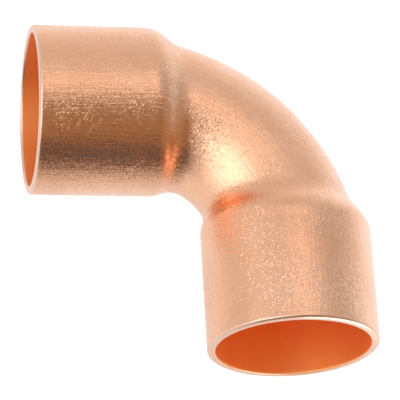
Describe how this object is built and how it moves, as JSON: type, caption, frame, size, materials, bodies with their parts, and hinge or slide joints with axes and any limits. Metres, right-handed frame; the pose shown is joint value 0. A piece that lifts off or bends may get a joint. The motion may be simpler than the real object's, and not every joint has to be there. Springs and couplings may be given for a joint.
{
  "type": "pipe elbow",
  "caption": "Right-angle copper tube elbow with a smooth long-turn bend and an expanded solder socket at each end.",
  "frame": {"origin": "centre of socket A's mouth, on its axis", "axes": "-X out of socket A's mouth, -Y out of socket B's mouth, +Z square to the plane that holds both axes; the elbow lies flat on its side"},
  "size_m": [0.0351, 0.0351, 0.0178],
  "materials": {
    "copper": "satin drawn copper"
  },
  "bodies": {
    "root": {"elbow": "copper"}
  },
  "joints": []
}
